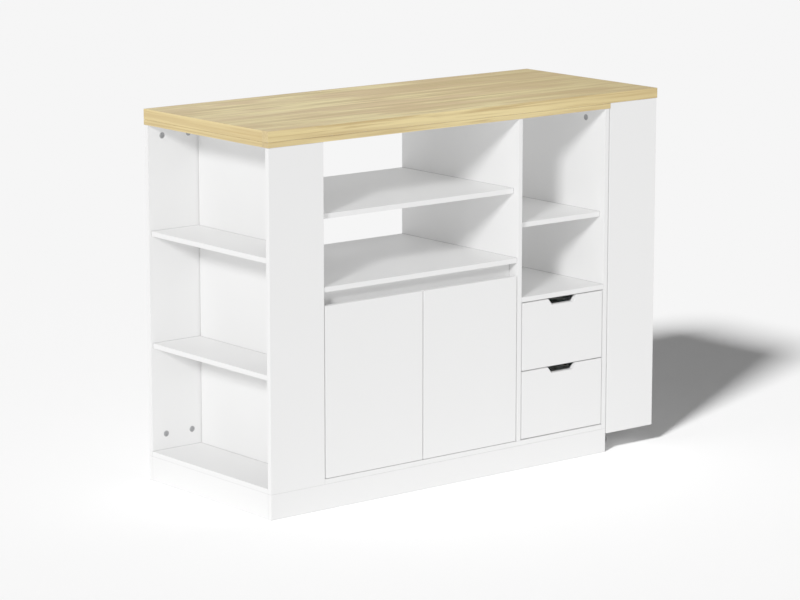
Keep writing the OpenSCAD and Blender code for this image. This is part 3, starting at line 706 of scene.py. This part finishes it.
def spread(master, spots):
    """Copies of a master, which looks along +Z, at each place and looking its way."""
    made = []
    for spot in spots:
        place, way = spot[:2]
        made.append(turn(twin(master), Vector((0.0, 0.0, 1.0)).rotation_difference(way), place))
    bpy.data.objects.remove(master)
    return made


print("cam locks:", len(solids_of("cam_locks")))

# %% [markdown]
# ## Seam tape
# Between the two tops there is a gap of one millimetre. A thin tape in the oak's colour lies in it, a
# little behind the edge, so that the seam reads as a soft line and not as a black one. It is a U of
# three bars: we start from the front bar, extrude its end faces, and round its edges.

# %% Seam tape
TAPE_INSET = 1.6 * MM
TAPE_WIDTH = 5.0 * MM
TAPE_ROOM = 0.04 * MM


def seam_tape():
    """A thin U-shaped tape that lines the seam at the front, the left end and the back."""
    strip_low, strip_high, points = solids_of("glide_strips")[0]
    top_low, top_high = [Vector(corner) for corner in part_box("counter_top")]
    inset, wide = TAPE_INSET, TAPE_WIDTH
    low_z, high_z = strip_low.z + TAPE_ROOM, strip_high.z - TAPE_ROOM
    left, right = top_low.x + inset, strip_high.x
    tape = block((left, top_low.y + inset, low_z), (right, top_low.y + inset + wide, high_z))
    edit(tape, "EDGE")
    bpy.ops.mesh.select_all(action="SELECT")
    bpy.ops.mesh.bisect(plane_co=(left + wide, 0, 0), plane_no=(1, 0, 0))
    done()
    edit(tape)
    pick(tape, faces=lambda face: face.normal.y > 0.9 and face.calc_center_median().x < left + wide)
    reach = top_high.y - top_low.y - 2 * inset - 2 * wide
    bpy.ops.mesh.extrude_region_move(TRANSFORM_OT_translate={"value": (0.0, reach, 0.0)})
    bpy.ops.mesh.extrude_region_move(TRANSFORM_OT_translate={"value": (0.0, wide, 0.0)})
    behind = top_high.y - inset - wide
    pick(tape, faces=lambda face: face.normal.x > 0.9 and face.calc_center_median().y > behind)
    length = right - left - wide
    bpy.ops.mesh.extrude_region_move(TRANSFORM_OT_translate={"value": (length, 0.0, 0.0)})
    done()
    edit(tape, "EDGE")
    pick(tape, edges=is_corner)
    bpy.ops.mesh.bevel(offset=0.15 * MM, segments=2)
    done()
    tape.name = tape.data.name = "seam_tape"
    dress(tape, "oak_board")
    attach(tape, nodes["glide_strips"]["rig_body"])
    print("seam_tape", len(tape.data.polygons), "faces")


seam_tape()

# %% [markdown]
# ## Cam locks
# A cam lock is a die-cast drum let into the board, 15 mm across. Its face has a raised rim, a sunk
# floor, a crossed slot for the driver, and a small notch at the rim that shows which way it is
# turned. We start from a cylinder, inset and sink its top face, bevel the rim, and cut the slot with
# a cross that is itself a cube with four extruded arms.

# %% A crossed slot
def arm_end(way, width):
    """A test for the face at the end of the arm that points one way."""

    def test(face):
        middle = face.calc_center_median()
        beside = middle - way * middle.dot(way)
        return face.normal.dot(way) > 0.9 and beside.length < 0.1 * width

    return test


def cross_tool(length, width, depth):
    """A cross to cut driver slots with."""
    tool = start(bpy.ops.mesh.primitive_cube_add, (width, width, 2 * depth), size=1.0)
    edit(tool)
    for way in (Vector((1, 0, 0)), Vector((-1, 0, 0)), Vector((0, 1, 0)), Vector((0, -1, 0))):
        arm = tuple(way * (length - width) / 2)
        pick(tool, faces=arm_end(way, width))
        bpy.ops.mesh.extrude_region_move(TRANSFORM_OT_translate={"value": arm})
    done()
    return tool


print("slot cutter ready")

# %% One cam lock
CAM_RADIUS = 7.5 * MM
CAM_DEPTH = 9.0 * MM
CAM_CROSS = (9.0 * MM, 1.7 * MM, 1.9 * MM)
CAM_MARK = 0.9 * MM
CAM_MARK_Y = 5.9 * MM
FRAME_SLOT_DEPTH = 1.0 * MM


def cam_lock():
    """A cam lock whose face lies at the origin and looks along +Z."""
    lock = cylinder(CAM_RADIUS, -CAM_DEPTH, 0.0)
    edit(lock)
    pick(lock, faces=lambda face: face.normal.z > 0.9)
    bpy.ops.mesh.inset(thickness=1.0 * MM, depth=0.0)
    bpy.ops.mesh.inset(thickness=0.2 * MM, depth=-0.5 * MM)
    done()
    edit(lock, "EDGE")

    def outer_rim(line):
        return all(p.co.z > -TOUCH and p.co.length > CAM_RADIUS * 0.99 for p in line.verts)

    pick(lock, edges=outer_rim)
    bpy.ops.mesh.bevel(offset=0.35 * MM, segments=2)
    done()
    cut(lock, cross_tool(*CAM_CROSS))
    notch = cylinder(CAM_MARK, -CAM_MARK, 1.0 * MM, sides=3)
    cut(lock, turn(notch, Quaternion(), (0.0, CAM_MARK_Y, 0.0)))
    return lock


def slot_floor(inside, aside):
    """True for the points on the floor of the frame's driver slot."""
    return abs(inside - FRAME_SLOT_DEPTH) < 2 * TOUCH


cams = joined(spread(cam_lock(), outward("cam_locks", min, slot_floor)))
smooth(cams)
stand_for(cams, "cam_locks", "cam_locks_cast")

# %% [markdown]
# ## Screws
# The fittings are held by pan-head screws. Each head is a low dome with a crossed recess, and the
# shank ends in a point. The dome is the bevelled rim of a cylinder, and the shank is extruded from
# its underside. The frame gives each screw's length.

# %% One screw
SHANK_RADIUS = 1.6 * MM
SCREW_POINT = 3.0 * MM
SCREW_CROSS = (3.4 * MM, 0.8 * MM, 0.8 * MM)


def pan_screw(length, head=3.0 * MM, thickness=1.2 * MM):
    """A screw whose head's top lies at the origin and looks along +Z."""
    screw = cylinder(head, -thickness, 0.0, sides=40)
    edit(screw, "EDGE")
    pick(screw, edges=lambda line: all(p.co.z > -TOUCH for p in line.verts))
    bpy.ops.mesh.bevel(offset=0.75 * MM, segments=4)
    done()
    edit(screw)
    pick(screw, faces=lambda face: face.normal.z < -0.9)
    bpy.ops.mesh.inset(thickness=head - SHANK_RADIUS, depth=0.0)
    for step in (length - thickness - SCREW_POINT, SCREW_POINT):
        bpy.ops.mesh.extrude_region_move(TRANSFORM_OT_translate={"value": (0.0, 0.0, -step)})
    bpy.ops.mesh.merge(type="CENTER")
    done()
    cut(screw, cross_tool(*SCREW_CROSS))
    return screw


def head_rim(inside, aside):
    """True for the points of the screw head's outer rim, which stands out past the shank."""
    return inside < 0.1 * MM and aside > 2.5 * MM


for name in ("carcass_screws", "leg_screws"):
    spots = outward(name, max, head_rim)
    made = []
    for length in sorted({round(spot[2], 4) for spot in spots}):
        made += spread(pan_screw(length), [spot for spot in spots if round(spot[2], 4) == length])
    screws = joined(made)
    smooth(screws)
    stand_for(screws, name, name + "_panhead")

# %% [markdown]
# ## Hinge cups
# A concealed hinge has a pressed cup, let into the back of the door, with a thin flange that lies on
# the door and two screws through it. The arm's eye turns on a pin inside the cup. The cup is a
# cylinder whose top face is inset and sunk, and whose edges are then rolled over with a bevel. The
# flange is a block with bevelled corners and a round hole.

# %% One hinge cup
CUP_RADIUS = 13.0 * MM
CUP_DEPTH = 9.0 * MM
CUP_WALL = 1.0 * MM
FLANGE_HALF = (11.0 * MM, 23.0 * MM)
FLANGE_THICKNESS = 0.8 * MM
CUP_SCREW_Y = 18.5 * MM
CUP_SCREW_HEAD = (2.8 * MM, 1.0 * MM)
CUP_SCREW_LENGTH = 8.0 * MM
CUP_SCREW_TOP = 1.6 * MM
PIN_RADIUS = 1.0 * MM
PIN_HALF = 8.8 * MM
PIN_DOWN = 5.5 * MM
PIN_ASIDE = 8.62 * MM


def hinge_cup():
    """A cup that opens along +Z, with its pin towards -X."""
    cup = cylinder(CUP_RADIUS, -CUP_DEPTH, 0.0, sides=64)
    edit(cup)
    pick(cup, faces=lambda face: face.normal.z > 0.9)
    bpy.ops.mesh.inset(thickness=CUP_WALL, depth=0.0)
    sink = CUP_WALL - CUP_DEPTH
    bpy.ops.mesh.extrude_region_move(TRANSFORM_OT_translate={"value": (0.0, 0.0, sink)})
    done()
    edit(cup, "EDGE")
    pick(cup, edges=lambda line: is_level(line) and is_corner(line))
    bpy.ops.mesh.bevel(offset=0.4 * MM, segments=3)
    done()
    x, y = FLANGE_HALF
    flange = block((-x, -y, 0.0), (x, y, FLANGE_THICKNESS))
    edit(flange, "EDGE")
    pick(flange, edges=lambda line: not is_level(line))
    bpy.ops.mesh.bevel(offset=6.0 * MM, segments=6)
    done()
    cut(flange, cylinder(CUP_RADIUS - CUP_WALL, -1.0 * MM, 2.0 * MM, sides=64))
    parts = [cup, flange]
    for side in (-1, 1):
        screw = pan_screw(CUP_SCREW_LENGTH, *CUP_SCREW_HEAD)
        parts.append(turn(screw, Quaternion(), (0.0, side * CUP_SCREW_Y, CUP_SCREW_TOP)))
    pin = cylinder(PIN_RADIUS, -PIN_HALF, PIN_HALF, sides=40)
    edit(pin, "EDGE")
    pick(pin, edges=is_corner)
    bpy.ops.mesh.bevel(offset=0.3 * MM, segments=2)
    done()
    parts.append(turn(pin, ON_ITS_SIDE, (-PIN_ASIDE, 0.0, -PIN_DOWN)))
    return joined(parts)


for side, aside in (("left", 0.0), ("right", math.pi)):
    spots = []
    for low, high, points in solids_of(side + "_hinge_cups"):
        mouth = (low + high) / 2
        mouth.y = high.y
        spots.append((mouth, Vector((0, 1, 0))))
    master = turn(hinge_cup(), Quaternion((0, 0, 1), aside))
    cups = joined(spread(master, spots))
    smooth(cups)
    stand_for(cups, side + "_hinge_cups", side + "_hinge_cups_pressed")

# %% [markdown]
# ## Casters
# Two small twin-cheek casters carry the leg. The wheel has a rubber tread with rounded shoulders
# round a plastic hub, which is dished and has a boss round its bore. The dish and the boss are insets:
# the pairs below are how far in, and how deep, each step of the wheel's side goes. The hub and the
# tread take different finishes, so the faces near the middle get a second material.

# %% One caster wheel
WHEEL_BORE = 3.05 * MM
WHEEL_SHOULDER = 2.2 * MM
WHEEL_STEPS = ((1.6, 0.0), (0.4, -1.4), (6.6, 0.0), (0.4, 1.2))
HUB_RADIUS = 12.9 * MM
HUB_REACH = 13.2 * MM


def caster_wheel(radius, width):
    """A wheel about the Z axis, centred on the origin."""
    wheel = cylinder(radius, -width / 2, width / 2, sides=72)
    edit(wheel, "EDGE")
    pick(wheel, edges=is_corner)
    bpy.ops.mesh.bevel(offset=WHEEL_SHOULDER, segments=4)
    done()
    for side in (-1, 1):
        edit(wheel)
        pick(wheel, faces=lambda face: face.normal.z * side > 0.99)
        for inwards, rise in WHEEL_STEPS:
            bpy.ops.mesh.inset(thickness=inwards * MM, depth=rise * MM)
        done()
    cut(wheel, cylinder(WHEEL_BORE, -width, width, sides=40))
    return wheel


def in_hub(face):
    """True for the faces of the hub, by how far they lie from the axis and from the centre."""
    return face.center.xy.length < HUB_RADIUS and face.center.length < HUB_REACH


for end in ("front", "back"):
    name = end + "_caster_wheel"
    low, high, points = solids_of(name)[0]
    wheel = caster_wheel((high.x - low.x) / 2, high.y - low.y)
    dress(wheel, "wheel_rubber")
    wheel.data.materials.append(finishes["black_plastic"])
    for face in wheel.data.polygons:
        face.material_index = int(in_hub(face))
    turn(wheel, ON_ITS_SIDE, (low + high) / 2)
    smooth(wheel)
    stand_for(wheel, name, name + "_moulded")

# %% [markdown]
# The fork is moulded in one piece, so all its corners are well rounded. The axle is a rivet with a
# low round head at each end, outside the cheeks. Each head is two extrusions of the axle's end: a
# thin one that is then widened, and a taller one that is narrowed again.

# %% Forks and axles
AXLE_RADIUS = 3.0 * MM
HEAD_STEPS = ((0.05, 1.4), (0.9, 0.7))


def axle_rivet(half):
    """A rivet along Z, centred on the origin, whose heads lie outside its half length."""
    axle = cylinder(AXLE_RADIUS, -half, half, sides=40)
    edit(axle)
    for side in (-1, 1):
        pick(axle, faces=lambda face: face.calc_center_median().z * side > half - TOUCH)
        for rise, widen in HEAD_STEPS:
            lift = (0.0, 0.0, side * rise * MM)
            bpy.ops.mesh.extrude_region_move(TRANSFORM_OT_translate={"value": lift})
            middle = (0.0, 0.0, side * half)
            bpy.ops.transform.resize(value=(widen, widen, 1.0), center_override=middle)
    done()
    return axle


for end in ("front", "back"):
    eased(end + "_caster_fork", 0.8 * MM, 2.0 * MM, degrees=50.0, segments=3)
    name = end + "_caster_axle"
    low, high, points = solids_of(name)[0]
    axle = turn(axle_rivet((high.y - low.y) / 2), ON_ITS_SIDE, (low + high) / 2)
    smooth(axle)
    stand_for(axle, name, name + "_riveted")

# %% [markdown]
# ## Door catches
# Behind the top of each door sits a magnetic catch: a plastic housing with a slot in its face and
# two steel pole plates in the slot. The housing is a block with rounded edges and a sunk face.

# %% Catches
POLE_X = 4.0 * MM
POLE_Y = (0.3 * MM, 3.0 * MM)
POLE_Z = 3.2 * MM
POLE_HALF = 0.8 * MM


def rounded_block(low, high, width, segments):
    """A block whose edges are all rounded."""
    piece = block(low, high)
    edit(piece, "EDGE")
    bpy.ops.mesh.select_all(action="SELECT")
    bpy.ops.mesh.bevel(offset=width, segments=segments)
    done()
    return piece


def catch_housing(low, high):
    """The plastic housing, with a sunk slot in the face that looks towards the door."""
    housing = rounded_block(low, high, 1.2 * MM, 3)
    edit(housing)
    pick(housing, faces=lambda face: face.normal.y < -0.99)
    bpy.ops.mesh.inset(thickness=2.4 * MM, depth=0.0)
    bpy.ops.mesh.inset(thickness=0.3 * MM, depth=-1.6 * MM)
    done()
    dress(housing, "white_plastic")
    return housing


def pole_plate(low, high, z):
    """One steel plate in the slot."""
    corner = (low.x + POLE_X, low.y + POLE_Y[0], z - POLE_HALF)
    far_corner = (high.x - POLE_X, low.y + POLE_Y[1], z + POLE_HALF)
    plate = rounded_block(corner, far_corner, 0.25 * MM, 2)
    dress(plate, "plated_steel")
    return plate


catches = []
for low, high, points in solids_of("door_catches"):
    catches.append(catch_housing(low, high))
    for up in (-1, 1):
        catches.append(pole_plate(low, high, (low.z + high.z) / 2 + up * POLE_Z))
catch = joined(catches)
smooth(catch)
stand_for(catch, "door_catches", "door_catches_magnetic")

# %% [markdown]
# ## Floor
# The island stands on a plain pale floor that runs on past the picture, so that no edge of it shows.
# It is part of the stage and not of the island, and a dull paint with no shine keeps it quiet.

# %% Floor
FLOOR_SIZE = 60.0
FLOOR_MIDDLE = (0.0, 8.0, 0.0)
FLOOR_DARK = (0.975, 0.975, 0.975, 1.0)
FLOOR_LIGHT = (0.985, 0.985, 0.985, 1.0)


def floor_paint(name):
    """Dull, nearly white paint."""
    made, tree, shader, place = start_material(name, Roughness=0.9, Specular_IOR_Level=0.0)
    cloud = noise(tree, place, scale=0.7, detail=2.0)
    feed(tree, mix_colour(tree, cloud, FLOOR_DARK, FLOOR_LIGHT), shader, "Base Color")
    return made


floor = start(bpy.ops.mesh.primitive_plane_add, size=FLOOR_SIZE, location=FLOOR_MIDDLE)
floor.name = "floor"
floor.data.materials.append(floor_paint("floor_paint"))
print("floor laid")

# %% [markdown]
# ## Light
# All the lamps are sun lamps, whose light travels the same way everywhere. A lamp's angle sets how
# soft it is: the key sun, from the left and rather low, is narrow and draws the shadows inside the
# shelves. Three very wide lamps then lift the fronts, the boards that face up and the back, and a
# faint white sky fills what is left.
#
# The shadow on the floor runs another way than the shadows inside the shelves, as in a picture made
# with several studio lamps. So the floor has a sun of its own, by light linking: each lamp gets a
# collection that says whether it lights the floor, and nothing else changes.
#
# White boards in a bright room differ by very little. We keep the lamps dim enough for the shades to
# stay apart, and lift the whole picture with the view's gamma.

# %% Light
SKY_STRENGTH = 0.09
VIEW_GAMMA = 1.6


def soft_lamp(name, energy, spread, way, on_floor=False):
    """A sun lamp whose light travels one way, softened by its angle."""
    lamp = bpy.data.lights.new(name, "SUN")
    lamp.energy = energy
    lamp.angle = math.radians(spread)
    stand = bpy.data.objects.new(name, lamp)
    stand.rotation_euler = Vector(way).to_track_quat("-Z", "Y").to_euler()
    bpy.context.scene.collection.objects.link(stand)
    lit = bpy.data.collections.new(name + "_light")
    lit.objects.link(floor)
    lit.collection_objects[0].light_linking.link_state = "INCLUDE" if on_floor else "EXCLUDE"
    stand.light_linking.receiver_collection = lit
    print(name, energy)


soft_lamp("key_sun", 1.86, 9.0, (0.776, 0.477, -0.411))
soft_lamp("front_fill", 0.15, 80.0, (0.40, 0.87, -0.30))
soft_lamp("top_fill", 0.62, 80.0, (0.15, 0.45, -0.88))
soft_lamp("back_fill", 1.0, 90.0, (0.1, -0.9, -0.3))
soft_lamp("floor_sun", 4.3, 9.0, (0.733, 0.343, -0.587), on_floor=True)

world = bpy.data.worlds.new("sky")
world.use_nodes = True
sky = world.node_tree.nodes["Background"]
sky.inputs["Color"].default_value = (1.0, 1.0, 1.0, 1.0)
sky.inputs["Strength"].default_value = SKY_STRENGTH
bpy.context.scene.world = world
bpy.context.scene.view_settings.view_transform = "Standard"
bpy.context.scene.view_settings.gamma = VIEW_GAMMA

# %% [markdown]
# ## Camera
# The camera stands well back, at the left, with a long lens, so the island's edges run almost
# parallel. The focal length is given in pixels of a picture that is 800 pixels wide, which is how a
# camera is fitted to a photograph, and is turned into millimetres for a 36 mm sensor. The camera
# looks down a little, by `PITCH`, and to the right, by `YAW`, both in radians.

# %% Camera
PICTURE_WIDTH = 800.0
FOCAL_PIXELS = 3228.65
YAW = 0.6821
PITCH = 0.1962
CAMERA_PLACE = (-4.88415, -5.98868, 1.93932)

camera = bpy.data.cameras.new("camera")
camera.sensor_width = 36.0
camera.lens = FOCAL_PIXELS * camera.sensor_width / PICTURE_WIDTH
camera.clip_end = 200.0
camera_stand = bpy.data.objects.new("camera", camera)
camera_stand.location = CAMERA_PLACE
camera_stand.rotation_euler = (math.pi / 2 - PITCH, 0.0, -YAW)
bpy.context.scene.collection.objects.link(camera_stand)
bpy.context.scene.camera = camera_stand
print("lens", round(camera.lens, 1), "mm")

# %% [markdown]
# ## Finish
# The last line brings the scene's placings up to date.

# %% Finish
bpy.context.view_layer.update()
